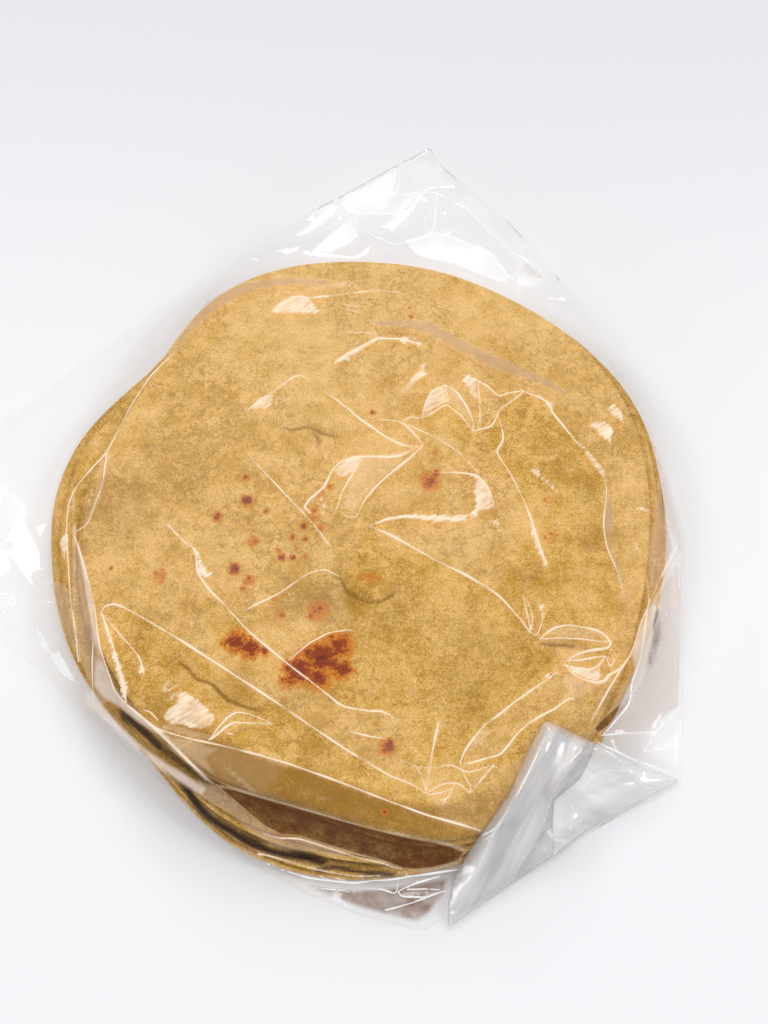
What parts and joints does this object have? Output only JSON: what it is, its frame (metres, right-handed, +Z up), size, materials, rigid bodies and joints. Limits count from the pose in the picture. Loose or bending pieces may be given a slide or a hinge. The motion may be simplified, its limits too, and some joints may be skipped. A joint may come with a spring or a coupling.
{
  "type": "bag of flour tortillas",
  "caption": "Stack of round flour tortillas lying flat in a clear, crumpled film bag, with loose corners and its mouth folded up over the stack's edge.",
  "frame": {"origin": "under the middle of the top tortilla, on the surface that the bag lies on", "axes": "+Z up through the stack; +Y away from the folded mouth's side, towards the bag's far corner; +X to the right of a viewer at -Y"},
  "size_m": [0.364, 0.37, 0.036],
  "materials": {
    "film": "clear glossy film with sharp creases, tortillas showing through",
    "tortilla": "matt golden bread, finely mottled, with brown griddle spots"
  },
  "bodies": {
    "root": {"tortilla_bag": "film"}
  },
  "joints": []
}
